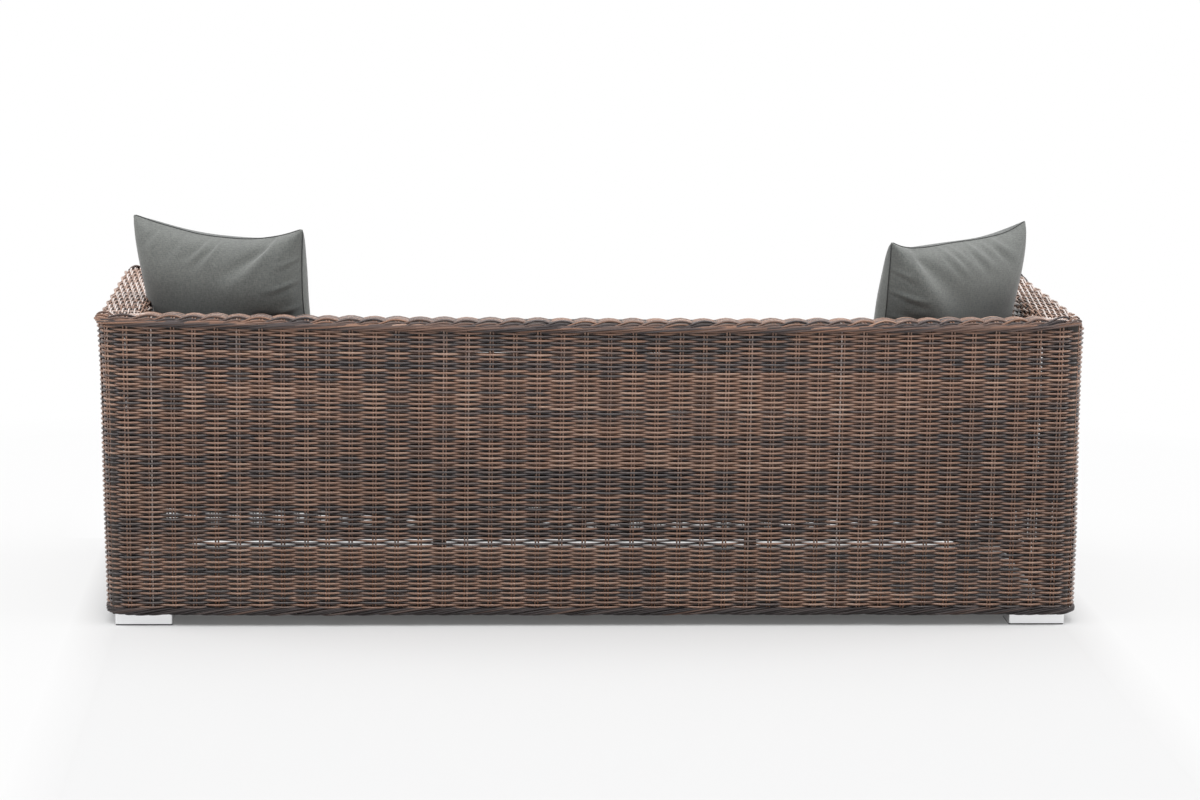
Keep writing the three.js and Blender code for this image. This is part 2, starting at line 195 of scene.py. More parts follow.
# Strands: every strand is a round tube along a path, and many of them share one mesh
class Bundle:
    def __init__(self):
        self.points, self.tones, self.quads, self.caps, self.count = [], [], [], [], 0

    def add(self, path, across, radius, tone, sides=6):
        path = np.asarray(path, float)
        along = np.gradient(path, axis=0)
        along /= np.linalg.norm(along, axis=1)[:, None]
        across = np.broadcast_to(np.asarray(across, float), path.shape)
        first = across - (across * along).sum(1)[:, None] * along
        first /= np.linalg.norm(first, axis=1)[:, None]
        second = np.cross(along, first)
        angle = np.arange(sides) / sides * 2 * math.pi
        ring = np.cos(angle)[None, :, None] * first[:, None] + np.sin(angle)[None, :, None] * second[:, None]
        radius = np.broadcast_to(np.asarray(radius, float), (len(path),))
        self.points.append((path[:, None] + radius[:, None, None] * ring).reshape(-1, 3))
        self.tones.append(np.repeat(np.broadcast_to(tone, (len(path),)), sides))
        steps = np.arange(len(path) - 1)[:, None] * sides
        turn, following = np.arange(sides), (np.arange(sides) + 1) % sides
        low, high = steps + turn, steps + following
        quads = np.stack([low, high, high + sides, low + sides], -1)
        self.quads.append(quads.reshape(-1, 4) + self.count)
        last = (len(path) - 1) * sides
        self.caps.append(np.stack([turn[::-1], last + turn]) + self.count)
        self.count += len(path) * sides

    def build(self, name, nodes=(), material=wicker, body="sofa"):
        points = np.concatenate(self.points)
        quads = np.concatenate(self.quads)
        sides = self.caps[0].shape[1]
        caps = np.concatenate(self.caps)
        mesh = bpy.data.meshes.new(name)
        mesh.vertices.add(len(points))
        mesh.vertices.foreach_set("co", points.astype(np.float32).ravel())
        corners = np.concatenate([quads.ravel(), caps.ravel()])
        mesh.loops.add(len(corners))
        mesh.loops.foreach_set("vertex_index", corners.astype(np.int32))
        starts = np.concatenate([np.arange(len(quads)) * 4, quads.size + np.arange(len(caps)) * sides])
        mesh.polygons.add(len(starts))
        mesh.polygons.foreach_set("loop_start", starts.astype(np.int32))
        mesh.update(calc_edges=True)
        mesh.shade_smooth()
        tone = mesh.attributes.new("tone", "FLOAT", "POINT")
        tone.data.foreach_set("value", np.concatenate(self.tones).astype(np.float32))
        mesh.materials.append(material)
        piece = bpy.data.objects.new(name, mesh)
        scene.collection.objects.link(piece)
        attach(piece, body)
        if nodes:
            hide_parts(*nodes)
        print(name, "strands:", len(self.caps), "triangles:", 2 * len(quads) + len(caps) * (sides - 2))
        return piece


# Planes of the shell, read from the frame
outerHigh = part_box("back_outer_weave")[1]
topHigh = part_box("back_top_weave")[1]
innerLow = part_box("back_inner_weave")[0]
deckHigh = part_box("seat_deck_weave")[1]
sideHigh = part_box("arm_outer_weave_left")[1]

weave = {
    "rowPitch": 0.00522, "rowsFrom": 0.0415, "rowsTo": 0.6505, "strand": 0.00246,
    "apronStrand": 0.0028, "armStrand": 0.0027, "swing": 0.0048, "paintedRecessShade": 0.30, "behind": 0.3,
    "lowerPaintedShadeShare": 0.08, "inner": {"radius": 0.0029, "swing": 0.0035}, "halfSkin": 0.007,
    "skinClear": 0.003, "capClear": 0.001, "outerCorner": 0.045, "innerCorner": 0.010,
    "stations": (43, 16, 2, 38),
    "samplesPerStation": 4, "sag": 0.0105, "sagFrom": 0.30, "backFrom": 0.25, "drift": 0.0005,
    "driftWaves": [(7.1, 3.151, 0.35), (17.3, 6.987, 0.4), (2.9, 0.21, 1.5)],
    "chainStarts": {"innerBack": 5.0, "apron": 9.0, "innerArm": 40.0, "right": 20.0},
    "leanHeights": (0.0, 0.2, 0.3, 0.45, 0.55, 0.65, 0.70),
    "leanLeft": (0.0, 0.0047, 0.0069, 0.0089, 0.0103, 0.0155, 0.0165),
    "leanRight": (0.0084, 0.0092, 0.0073, 0.0050, 0.0050, 0.0068, 0.0070)}

backCount, armCount, endCount, apronCount = weave["stations"]
halfSkin, rowPitch = weave["halfSkin"], weave["rowPitch"]
outerX = sideHigh.x - weave["skinClear"] - halfSkin
outerY = outerHigh.y - weave["skinClear"] - halfSkin
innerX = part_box("arm_inner_weave_left")[0].x + halfSkin
innerY = innerLow.y + halfSkin
capZ = topHigh.z - halfSkin - weave["capClear"]
deckZ = deckHigh.z - halfSkin


def sagAt(plan, z):
    share = np.clip(1 - (np.abs(plan[:, 0]) / outerX) ** 2, 0, 1)
    raised = np.clip((z - weave["sagFrom"]) / (capZ - weave["sagFrom"]), 0, 1)
    return -weave["sag"] * share * raised * (plan[:, 1] > weave["backFrom"])


# The arms' outer walls stand a little outside their plan, by an amount that changes with the height
def leanOut(plan, z):
    x = plan[:, 0]
    left = np.interp(z, weave["leanHeights"], weave["leanLeft"])
    right = np.interp(z, weave["leanHeights"], weave["leanRight"])
    share = np.clip((np.abs(x) - innerX) / (outerX - innerX), 0, 1)
    return np.column_stack([x + np.where(x > 0, left, -right) * share, plan[:, 1], z])


def driftAt(row, chain):
    waves = sum(size * np.sin(chain * along + row * turn) for along, turn, size in weave["driftWaves"])
    return weave["drift"] * waves


# Rows stand apart at two spots near the top and in a patchy band low on the back
loose = {
    "spots": [(0.20, 0.597, 0.16, 0.0012), (-0.10, 0.600, 0.12, 0.0012)], "innerFall": 0.0145,
    "outerFrom": 0.35, "reach": 0.03, "band": 0.187, "bandEnd": 0.86, "bandApart": 0.0016,
    "bandSoft": 0.008, "patchLevel": 0.72, "patchSwing": 0.5, "patchWaves": [(37, 1), (11, 2)]}


def loosen(plan, z):
    x, y = plan.T
    opened = np.zeros(len(x))
    for spotX, spotZ, wide, apart in loose["spots"]:
        middle = np.where(y > loose["outerFrom"], spotZ, spotZ - loose["innerFall"])
        near = np.exp(-((x - spotX) / wide) ** 2 - np.abs(z - middle) / loose["reach"])
        opened += apart * near * np.sign(z - middle)
    low, soft = z - loose["band"], loose["bandSoft"]
    ripple = loose["patchSwing"]
    for count, phase in loose["patchWaves"]:
        ripple = ripple * np.sin(count * x + phase)
    patchy = np.clip(loose["patchLevel"] + ripple, 0, 1) * (np.abs(x) < loose["bandEnd"])
    near = np.exp(-np.maximum(np.abs(low) - soft, 0) / loose["reach"])
    opened += loose["bandApart"] * patchy * np.clip(low / soft, -1, 1) * near
    return opened * (y > weave["backFrom"])


# Along a row, lighter and darker lengths of strand follow each other
toneRuns = {
    "seed": 9000, "count": 24, "length": 0.5, "brightShare": 0.72, "bright": (0.68, 0.09),
    "dim": (0.37, 0.09), "ripple": 0.06, "most": 0.87}


def rowTone(row, chain, paintedShadeShare=0.0):
    dice = np.random.default_rng(toneRuns["seed"] + row)
    count = toneRuns["count"]
    edges = np.cumsum(dice.exponential(toneRuns["length"], count)) - 1.0
    # Painted shade: the share of bright lengths is lowered by this amount, so the lower back weave reads
    # darker
    chosen = dice.random(count + 1) < toneRuns["brightShare"] - paintedShadeShare
    bright = dice.normal(*toneRuns["bright"], count + 1)
    dim = dice.normal(*toneRuns["dim"], count + 1)
    tone = np.where(chosen, bright, dim)[np.searchsorted(edges, chain)]
    return np.clip(tone + toneRuns["ripple"] * np.sin(chain * 31 + row * 3.1), 0.0, toneRuns["most"])


stake = {
    "radius": 0.0018, "gap": 0.0031, "out": 0.0010, "wander": 0.0011, "wanderSeed": 31,
    "bunching": 0.0075, "tone": (0.77, 0.09), "toneSeed": 77, "foot": 0.030, "middle": 0.34,
    "innerMiddle": 0.45, "turns": (0.4, 0.8, 1.2)}


# The back's stakes stand a little unevenly, and closer together towards its ends
def standStakes():
    along = np.arange(backCount + 1) / backCount
    spread = along - stake["bunching"] * np.sin(2 * math.pi * along)
    wander = np.random.default_rng(stake["wanderSeed"]).normal(0, stake["wander"], backCount + 1)
    wander[[0, -1]] = 0
    return outerX - 2 * outerX * spread + wander


backStakeX = standStakes()


# Plan of a wall from start to end. Where it meets a wall that comes in along before or leaves along
# after, it has half of the rounded corner
def wallLine(start, end, before=None, after=None, radius=0.0, stations=(0, 1), fine=None, alongBack=False):
    start, end = np.array(start, float), np.array(end, float)
    length = np.linalg.norm(end - start)
    ahead = (end - start) / length
    bend = radius * math.pi / 4
    (cutLow, bendLow), (cutHigh, bendHigh) = ((radius, bend) if turn else (0, 0) for turn in (before, after))
    straight = length - cutLow - cutHigh
    total = straight + bendLow + bendHigh
    fine = fine or weave["samplesPerStation"]
    count = max(3, int(round(abs(stations[1] - stations[0]) * fine)) + 1)
    chain = np.linspace(0, total, count)
    place = start + (cutLow + np.clip(chain - bendLow, 0, straight))[:, None] * ahead
    heading = np.tile(ahead, (count, 1))
    for turn, past, sign in ((before, bendLow - chain, -1), (after, chain - total + bendHigh, 1)):
        if turn:
            angle = (np.maximum(past, 0) / radius)[:, None]
            place += sign * radius * (ahead * np.sin(angle) + np.array(turn) * (1 - np.cos(angle)))
            heading += ahead * (np.cos(angle) - 1) + np.array(turn) * np.sin(angle)
    outward = np.stack([heading[:, 1], -heading[:, 0]], 1)
    share = np.clip((place - start) @ ahead / length, 0, 1)
    station = stations[0] + (stations[1] - stations[0]) * share
    if alongBack:
        station = np.interp(-place[:, 0], -backStakeX, np.arange(len(backStakeX)))
    for turn, travel, first in ((before, chain, stations[0]), (after, total - chain, stations[1])):
        if turn:
            reached = np.interp(bend if turn is before else total - bend, chain, station)
            station = np.where(travel < bend, first + (reached - first) * travel / bend, station)
    return {"place": place, "outward": outward, "chain": chain, "phase": math.pi * station}


def swingOf(line, row, swing=weave["swing"]):
    return swing * np.cos(line["phase"]) * (1 if row % 2 == 0 else -1)


def weaveWall(name, node, line, rows, chainStart, fade=1.0, paintedShadeShare=0.0, radius=weave["strand"],
              swing=weave["swing"]):
    bundle = Bundle()
    for row in range(*rows):
        height = outerRows[row]
        lift = swingOf(line, row, swing) * fade
        plan = line["place"] + line["outward"] * lift[:, None]
        chain = chainStart + line["chain"]
        z = height + driftAt(row, chain) + sagAt(plan, height)
        z += loosen(plan, z)
        # Painted shade: where a row passes behind the stakes its tone is lowered
        tone = rowTone(row, chain, paintedShadeShare) - weave["paintedRecessShade"] * (lift < -weave["behind"] * swing)
        bundle.add(leanOut(plan, z), (0, 0, 1), radius, tone)
    bundle.build(name, [node])


def mirrored(line):
    flipped = dict(line)
    flipped["place"] = line["place"] * (-1, 1)
    flipped["outward"] = line["outward"] * (-1, 1)
    flipped["phase"] = line["phase"] + math.pi * backCount
    return flipped


def fadeEnds(line, atStart, atEnd, reach=0.03):
    chain = line["chain"]
    fade = np.ones(len(chain))
    if atStart:
        fade *= np.clip(chain / reach, 0, 1)
    if atEnd:
        fade *= np.clip((chain[-1] - chain) / reach, 0, 1)
    return fade


rowCount = int((weave["rowsTo"] - weave["rowsFrom"]) / rowPitch) + 1
outerRows = weave["rowsFrom"] + rowPitch * np.arange(rowCount)
deckRow = int(math.ceil((deckHigh.z - weave["rowsFrom"]) / rowPitch))
backUnit = 2 * outerX / backCount
armUnit = 2 * outerY / armCount
innerBackEnd = (outerX - innerX) / backUnit
innerArmEnd = (innerY + outerY) / armUnit
outerRadius, innerRadius = weave["outerCorner"], weave["innerCorner"]
backLine = wallLine((outerX, outerY), (-outerX, outerY), (0, 1), (0, -1), outerRadius,
                    (0, backCount), alongBack=True)
armLine = wallLine((outerX, -outerY), (outerX, outerY), (1, 0), (-1, 0), outerRadius, (0, armCount))
endLine = wallLine((innerX, -outerY), (outerX, -outerY), None, (0, 1), outerRadius, (0, endCount))
innerArmLine = wallLine((innerX, innerY), (innerX, -outerY), (1, 0), (1, 0), innerRadius, (innerArmEnd, 0))
innerBackLine = wallLine((-innerX, innerY), (innerX, innerY), (0, 1), (0, -1), innerRadius,
                         (backCount - innerBackEnd, innerBackEnd), alongBack=True)
apronLine = wallLine((-innerX, -outerY), (innerX, -outerY), stations=(apronCount, 0))

chainStarts = weave["chainStarts"]
armChain, backChain = endLine["chain"][-1], endLine["chain"][-1] + armLine["chain"][-1]
allRows, highRows = (0, rowCount), (deckRow, rowCount)
# Painted shade: the back below the deck gets fewer bright lengths
weaveWall("backWeaveLower", "back_outer_weave", backLine, (0, deckRow), backChain, paintedShadeShare=weave["lowerPaintedShadeShare"])
weaveWall("backWeaveUpper", "back_outer_weave", backLine, highRows, backChain)
weaveWall("backWeaveInner", "back_inner_weave", innerBackLine, highRows, chainStarts["innerBack"],
          fadeEnds(innerBackLine, True, True), **weave["inner"])
weaveWall("frontApronWeave", "front_apron_weave", apronLine, (0, deckRow - 1), chainStarts["apron"],
          radius=weave["apronStrand"])
sides = (("left", 1, dict, 0.0), ("right", -1, mirrored, chainStarts["right"]))
armParts = {
    "outer": (armLine, allRows, armChain, {"radius": weave["armStrand"]}),
    "front": (endLine, allRows, 0.0, {"radius": weave["armStrand"]}),
    "inner": (innerArmLine, highRows, chainStarts["innerArm"],
              {"fade": fadeEnds(innerArmLine, True, False), **weave["inner"]})}
for side, sign, shaped, offset in sides:
    for part, (line, rows, start, options) in armParts.items():
        weaveWall(f"armWeave{part.title()}_{side}", f"arm_{part}_weave_{side}", shaped(line), rows,
                  start + offset, **options)
print("walls woven")


# Cap over the arms and the back: its rows run round the U beside each other
cap = {
    # Cap strands are darkened where they dip under the stakes (painted shade) and lightened on the arms
    # (painted highlight)
    "edgeRound": 0.013, "firstInset": 0.012, "fadeReach": 0.02, "paintedRecessShade": 0.85, "strand": 0.0020,
    "lighter": 0.40, "leastCorner": 0.006, "frontClear": 0.002, "frontStation": 0.04,
    "armFrom": 0.02, "armBlend": 0.03, "edgeStart": 0.036, "edgeStop": 0.10, "edgeOverlap": 0.6}


def capLine(inset):
    x, y = outerX - inset, outerY - inset
    corner = max(cap["leastCorner"], outerRadius - inset)
    backEnd = inset / backUnit
    armLeg = wallLine((x, cap["frontClear"] - outerY), (x, y), None, (-1, 0), corner,
                      (cap["frontStation"], (y + outerY) / armUnit))
    backLeg = wallLine((x, y), (-x, y), (0, 1), (0, -1), corner, (backEnd, backCount - backEnd),
                       alongBack=True)
    armLeg["fade"] = fadeEnds(armLeg, False, True, cap["fadeReach"])
    backLeg["fade"] = fadeEnds(backLeg, True, True, cap["fadeReach"])
    otherLeg = mirrored(armLeg)
    joined = {}
    for key in ("place", "outward", "phase", "fade"):
        joined[key] = np.concatenate([armLeg[key][:-1], backLeg[key][:-1], otherLeg[key][::-1]])
    steps = np.linalg.norm(np.diff(joined["place"], axis=0), axis=1)
    joined["chain"] = np.concatenate([[0], np.cumsum(steps)])
    return joined


def capProfile():
    wide = outerX - innerX
    bend = cap["edgeRound"]
    rows = []
    travel = outerRows[-1] + rowPitch - (capZ - bend)
    quarter = bend * math.pi / 2
    while travel < quarter:
        angle = travel / bend
        rows.append((wide - bend + bend * math.cos(angle), capZ - bend + bend * math.sin(angle), angle))
        travel += rowPitch
    inset = wide - bend - (travel - quarter)
    while inset > cap["firstInset"]:
        rows.append((inset, capZ, math.pi / 2))
        inset -= rowPitch
    return rows


def capTone(row, chain, lift, lighter):
    # Painted shade: cap strands dipping under the stakes are darkened to near black
    tone = rowTone(row, chain) + lighter - cap["paintedRecessShade"] * (lift < -weave["behind"] * weave["swing"])
    return np.clip(tone, 0, 1)


bundle = Bundle()
for row, (inset, height, angle) in enumerate(capProfile(), rowCount):
    line = capLine(inset)
    lift = swingOf(line, row) * line["fade"]
    plan = line["place"] - line["outward"] * (lift * math.cos(angle))[:, None]
    z = height + lift * math.sin(angle) + sagAt(plan, height)
    leaning = np.column_stack([line["outward"] * math.sin(angle), np.full(len(z), math.cos(angle))])
    # Painted highlight: the arm caps' strands get a lighter tone, fading out where the cap turns along the
    # back
    onArm = np.clip((np.abs(plan[:, 0]) - innerX + cap["armFrom"]) / cap["armBlend"], 0, 1)
    tone = capTone(row, line["chain"], lift, cap["lighter"] * onArm)
    bundle.add(leanOut(plan, z), leaning, cap["strand"], tone)


# More rows close each arm's outer edge, where the back has its braid
def edgeRows():
    bend = cap["edgeRound"]
    angle = math.asin((outerRows[-1] - capZ + bend) / bend)
    last = capProfile()[-1][0] - cap["edgeOverlap"] * rowPitch
    rows = []
    while True:
        angle += rowPitch / bend
        over = max(0, angle - math.pi / 2) * bend
        shown = min(angle, math.pi / 2)
        inset = bend - bend * math.cos(shown) + over
        if inset > last:
            return rows
        rows.append((inset, capZ - bend + bend * math.sin(shown), shown))


startY, endY = cap["edgeStart"] - outerY, outerY - cap["edgeStop"]
for row, (inset, height, angle) in enumerate(edgeRows(), rowCount):
    line = wallLine((outerX - inset, startY), (outerX - inset, endY),
                    stations=((startY + outerY) / armUnit, (endY + outerY) / armUnit))
    lift = swingOf(line, row)
    for side, sign, shaped, offset in sides:
        leg = shaped(line)
        plan = leg["place"] + leg["outward"] * (lift * math.cos(angle))[:, None]
        # Painted highlight: the rows along the arms' outer edges are lightened too
        tone = capTone(row, leg["chain"] + offset, lift, cap["lighter"])
        bundle.add(leanOut(plan, height + lift * math.sin(angle)), (0, 0, 1), cap["strand"], tone)
bundle.build("capWeave", ["back_top_weave", "arm_top_weave_left", "arm_top_weave_right"])
print("cap woven")


# Stakes: upright strands in pairs, which the rows go in front of and behind
def stakeProfile(reachIn):
    bend, wide = cap["edgeRound"], outerX - innerX
    points = [(0.0, stake["foot"]), (0.0, stake["middle"]), (0.0, capZ - bend)]
    for angle in (*stake["turns"], math.pi / 2):
        points.append((bend - bend * math.cos(angle), capZ - bend + bend * math.sin(angle)))
    if reachIn >= wide:
        for angle in (0, *stake["turns"]):
            points.append((wide - bend + bend * math.sin(angle), capZ - bend + bend * math.cos(angle)))
        points += [(wide, capZ - bend), (wide, stake["innerMiddle"]), (wide, deckZ)]
    else:
        points.append((max(reachIn, bend + 0.004), capZ))
    return np.array(points)


dice = np.random.default_rng(stake["toneSeed"])


def addStakePair(bundle, x, y, inward, profile):
    beside = np.array([-inward[1], inward[0]])
    for part in (-1, 1):
        shift = beside * part * stake["gap"]
        plan = np.array([x, y]) + shift + (profile[:, :1] - stake["out"]) * np.array(inward)
        path = leanOut(plan, profile[:, 1] + sagAt(plan, profile[:, 1]))
        bundle.add(path, (*beside, 0), stake["radius"], min(1.0, dice.normal(*stake["tone"])))


bundle = Bundle()
for x in backStakeX[1:-1]:
    addStakePair(bundle, x, outerY, (0, -1), stakeProfile(outerX - abs(x)))
bundle.build("backStakes")
cornerDepth, diagonal = outerRadius * (math.sqrt(2) - 1), 0.7071
uprights = [stake["foot"], stake["middle"]]
cornerProfile = [(cornerDepth, z) for z in (*uprights, capZ - 0.006)]
cornerProfile = np.array(cornerProfile + [(cornerDepth + 0.008, capZ)])
straight = np.array([(0.0, z) for z in (*uprights, capZ - 0.004)])
for side, sign, shaped, offset in sides:
    bundle = Bundle()
    for k in range(1, armCount):
        y = -outerY + k * armUnit
        addStakePair(bundle, sign * outerX, y, (-sign, 0), stakeProfile(outerY - y))
    for y, inwardY in ((outerY, -diagonal), (-outerY, diagonal)):
        addStakePair(bundle, sign * outerX, y, (-sign * diagonal, inwardY), cornerProfile)
    addStakePair(bundle, sign * (outerX + innerX) / 2, -outerY, (0, 1), straight)
    addStakePair(bundle, sign * (innerX + 0.003), -outerY + 0.003, (0, 1), straight)
    bundle.build(f"armStakes_{side}")
print("stakes set")


# Seat deck, and the stakes that run up the apron and back along the deck
deck = {
    "samples": 3, "sides": 5, "frontClear": 0.010, "backOverlap": 0.004, "firstRow": 400,
    "profile": [(0.0, stake["foot"]), (0.0, 0.15), (0.0, deckZ - 0.012), (0.004, deckZ - 0.004),
                (0.012, deckZ), (0.3, deckZ), (outerY + innerY, deckZ)]}
bundle = Bundle()
rowsAcross = np.arange(deck["frontClear"] - outerY, innerY + deck["backOverlap"], rowPitch)
for row, y in enumerate(rowsAcross, deck["firstRow"]):
    line = wallLine((-innerX, y), (innerX, y), stations=(apronCount, 0), fine=deck["samples"])
    path = np.column_stack([line["place"], deckZ + swingOf(line, row)])
    bundle.add(path, (0, 1, 0), weave["strand"], rowTone(row, line["chain"]), deck["sides"])
bundle.build("seatDeckWeave", ["seat_deck_weave"])
bundle = Bundle()
for k in range(1, apronCount):
    x = -innerX + k * 2 * innerX / apronCount
    addStakePair(bundle, x, -outerY, (0, 1), np.array(deck["profile"]))
bundle.build("deckStakes")
print("deck woven")


# Braided borders: the stakes' ends are turned down along the edge. The ring runs along the outer
# walls, from the front end of the left arm to that of the right
halfRing = endCount + armCount
backEnd = halfRing + backCount
endPart = np.linspace(0, 1, len(endLine["chain"])) * endCount
armPart, backPart = armLine["phase"] / math.pi, backLine["phase"] / math.pi
ringStations = np.concatenate([endPart, endCount + armPart, halfRing + backPart,
                               backEnd + armCount - armPart[::-1],
                               backEnd + halfRing - endPart[::-1]])
ringOrder = np.argsort(ringStations, kind="stable")
ringStations = ringStations[ringOrder]
ringTable = [np.hstack([line["place"], line["outward"]])[::step] for line, step in
             ((endLine, 1), (armLine, 1), (backLine, 1), (mirrored(armLine), -1), (mirrored(endLine), -1))]
ringTable = np.concatenate(ringTable)[ringOrder]
ringEnd = float(ringStations[-1])

border = {
    "strand": 0.0022, "bandStrands": 3, "bandStep": 0.0022, "points": 16,
    "swirls": [(17.9, 0.003, 0.7), (60.4, 0.006, 0.7)],
    "band": [(0.05, -0.0215, 0.000), (0.35, -0.0210, 0.0050), (0.95, -0.0190, 0.0078),
             (1.6, -0.0158, 0.0086), (2.15, -0.0138, 0.0086), (2.55, -0.0130, 0.0082),
             (2.95, -0.0128, 0.0066), (3.3, -0.0140, 0.0020)],
    "scallops": [[(2.20, -0.0112, 0.0050), (2.42, -0.0070, 0.0056), (2.65, -0.0030, 0.0028),
                  (2.92, -0.0008, -0.0020), (3.20, -0.0018, -0.0038), (3.42, -0.0050, -0.0038),
                  (3.62, -0.0090, -0.0060)],
                 [(2.20, -0.0136, 0.0064), (2.42, -0.0108, 0.0082), (2.65, -0.0080, 0.0072),
                  (2.92, -0.0068, 0.0044), (3.20, -0.0080, 0.0024), (3.42, -0.0104, 0.0006),
                  (3.62, -0.0138, -0.0034)]],
    "foot": [(2.35, 0.0125, -0.0050), (2.0, 0.0110, 0.0020), (1.4, 0.0075, 0.0052),
             (0.8, 0.0030, 0.0062), (0.3, -0.0008, 0.0055), (-0.1, -0.0025, 0.0020),
             (-0.4, -0.0015, -0.0050)],
    "footHeight": 0.0285, "topRuns": [(-3, -1), (15, 58), (74, 78)], "footStrands": 2,
    "brightShare": 0.74, "bright": 0.47, "dim": 0.27, "bandSpread": 0.15, "scallopDrop": 0.05,
    "scallopSpread": 0.12, "footTone": (0.17, 0.16), "leastTone": 0.05}


def onRing(station, rise, out, base):
    x, y, nx, ny = (np.interp(station, ringStations, column) for column in ringTable.T)
    plan = np.column_stack([x + nx * out, y + ny * out])
    upper = np.clip((rise + 0.020) / 0.016, 0, 1) * (base > 0.5)
    for place, height, wide in border["swirls"]:
        rise = rise + upper * height * np.exp(-((station - place) / wide) ** 2)
    return leanOut(plan, base + rise + sagAt(plan, base + rise))


def smoothThrough(controls, count):
    padded = np.vstack([2 * controls[0] - controls[1], controls, 2 * controls[-1] - controls[-2]])
    result = []
    for w in np.linspace(0, len(controls) - 1, count):
        k = min(int(w), len(controls) - 2)
        t = w - k
        a, b, c, d = padded[k:k + 4]
        result.append(0.5 * (2 * b + (c - a) * t + (2 * a - 5 * b + 4 * c - d) * t * t
                             + (3 * b - a - 3 * c + d) * t ** 3))
    return np.array(result)


def addBorderStrand(bundle, controls, shift, start, base, tone):
    path = smoothThrough(np.array(controls) + shift, border["points"])
    station = np.clip(start + path[:, 0], 0.0, ringEnd)
    points = onRing(station, path[:, 1], path[:, 2], base)
    keep = np.concatenate([[True], np.linalg.norm(np.diff(points, axis=0), axis=1) > 1e-5])
    if keep.sum() > 3:
        tone = np.clip(tone, border["leastTone"], 1.0)
        bundle.add(points[keep], (0, 0, 1), border["strand"], tone)


def weaveTopBorder(bundle, start):
    level = border["bright"] if dice.random() < border["brightShare"] else border["dim"]
    for q in range(-1, border["bandStrands"] - 1):
        shift = (0.04 * dice.normal() - 0.05, -border["bandStep"] * q, 0.0010 * q + 0.0006 * dice.normal())
        tone = dice.normal(level, border["bandSpread"])
        addBorderStrand(bundle, border["band"], shift, start, topHigh.z, tone)
    for scallop in border["scallops"]:
        shift = (0.02 * dice.normal() - 0.05, 0.0003 * dice.normal(), 0)
        tone = dice.normal(level - border["scallopDrop"], border["scallopSpread"])
        addBorderStrand(bundle, scallop, shift, start, topHigh.z, tone)


def weaveFootBorder(bundle, start):
    for q in range(border["footStrands"]):
        shift = (0.5 * q + 0.06 * dice.normal(), 0.0006 * dice.normal(), 0.0008 * dice.normal())
        tone = dice.normal(*border["footTone"])
        addBorderStrand(bundle, border["foot"], shift, start, border["footHeight"], tone)


spans = {"left": (-3, halfRing), "back": (halfRing, backEnd), "right": (backEnd, int(round(ringEnd)))}
for name, (low, high) in spans.items():
    bundle = Bundle()
    for start in range(low, high):
        weaveFootBorder(bundle, start)
        if any(first <= start <= last for first, last in border["topRuns"]):
            weaveTopBorder(bundle, start)
    bundle.build(f"border_{name}", material=wickerBorder)
print("borders braided")


# Grey-green outdoor canvas
clothLook = {
    "colour": (0.190, 0.198, 0.186), "shade": (0.110, 0.116, 0.111), "threads": 1500,
    # low is the painted shade colour of the pillows' back panels towards their lower edge
    "roughness": 0.86, "slub": 140, "sheen": 0.4, "low": (0.022, 0.029, 0.034), "paintedShadeFrom": 0.64,
    "paintedShadeGain": 0.95, "seamShadeTint": (0.32, 0.32, 0.33)}


def makeClothMaterial(name, tint):
    f = Finish(name)
    where = f.place()
    spun = f.noise(f.stretched(where, (1, 1, 3)), clothLook["slub"], 3)
    spun = spun + f.noise(f.stretched(where, (3, 3, 1)), clothLook["slub"], 3)
    x, y, z = f.add("ShaderNodeSeparateXYZ", {}, where, out=None)
    across = (x + y) * clothLook["threads"]
    upward = z * clothLook["threads"]
    thread = across.maths("SINE") * 0.25 + upward.maths("SINE") * 0.25 + 0.5
    faded = f.noise(where, 7, 3)
    shade = ((spun - 1.0) * 1.5 + thread * 0.16 + faded * 0.5 + 0.17).clamped()
    dark = [c * t for c, t in zip(clothLook["shade"], tint)]
    light = [c * t for c, t in zip(clothLook["colour"], tint)]
    height = thread * 0.6 + spun * 0.4
    # Painted shade: the back panel, marked by the cut attribute, is blended to a dark slate towards its
    # lower edge
    cut = f.add("ShaderNodeAttribute", {"attribute_name": "cut"}, out=1)
    _, rise, onBack = f.add("ShaderNodeSeparateXYZ", {}, cut, out=None)
    low = (clothLook["paintedShadeFrom"] - rise) * clothLook["paintedShadeGain"] * onBack
    shaded = f.mix(low.clamped(), f.mix(shade, dark, light), clothLook["low"])
    return f.set(Base_Color=shaded, Roughness=clothLook["roughness"], Sheen_Weight=clothLook["sheen"],
                 Sheen_Roughness=clothLook["sheen"], Normal=f.bump(height, 0.35, 0.0006))


clothCanvas = makeClothMaterial("greyCanvas", (1, 1, 1))
# The seam bead is real; its canvas, darkened to about a third, is painted shade of the groove between the
# panels
seamShadeCanvas = makeClothMaterial("seamShadeCanvas", clothLook["seamShadeTint"])


def deselectAll():
    bpy.ops.object.select_all(action="DESELECT")


def readVectors(items, field):
    flat = np.empty(len(items) * 3)
    items.foreach_get(field, flat)
    return flat.reshape(-1, 3)


def meshPoints(piece):
    return readVectors(piece.data.vertices, "co")


def setMeshPoints(piece, points):
    piece.data.vertices.foreach_set("co", np.asarray(points, np.float32).ravel())
    piece.data.update()


def dress(piece, material):
    piece.data.materials.clear()
    piece.data.materials.append(material)


def lumps(x, y, seed, waves, least, most):
    dice = np.random.default_rng(seed)
    total = np.zeros(len(x))
    for _ in range(waves):
        angle, count, phase = dice.uniform(0, math.pi), dice.uniform(least, most), dice.uniform(0, 6)
        total += np.sin((x * math.cos(angle) + y * math.sin(angle)) * count + phase)
    return total


clothMotion = {"quality": 5, "mass": 0.3, "bending": 0.5}


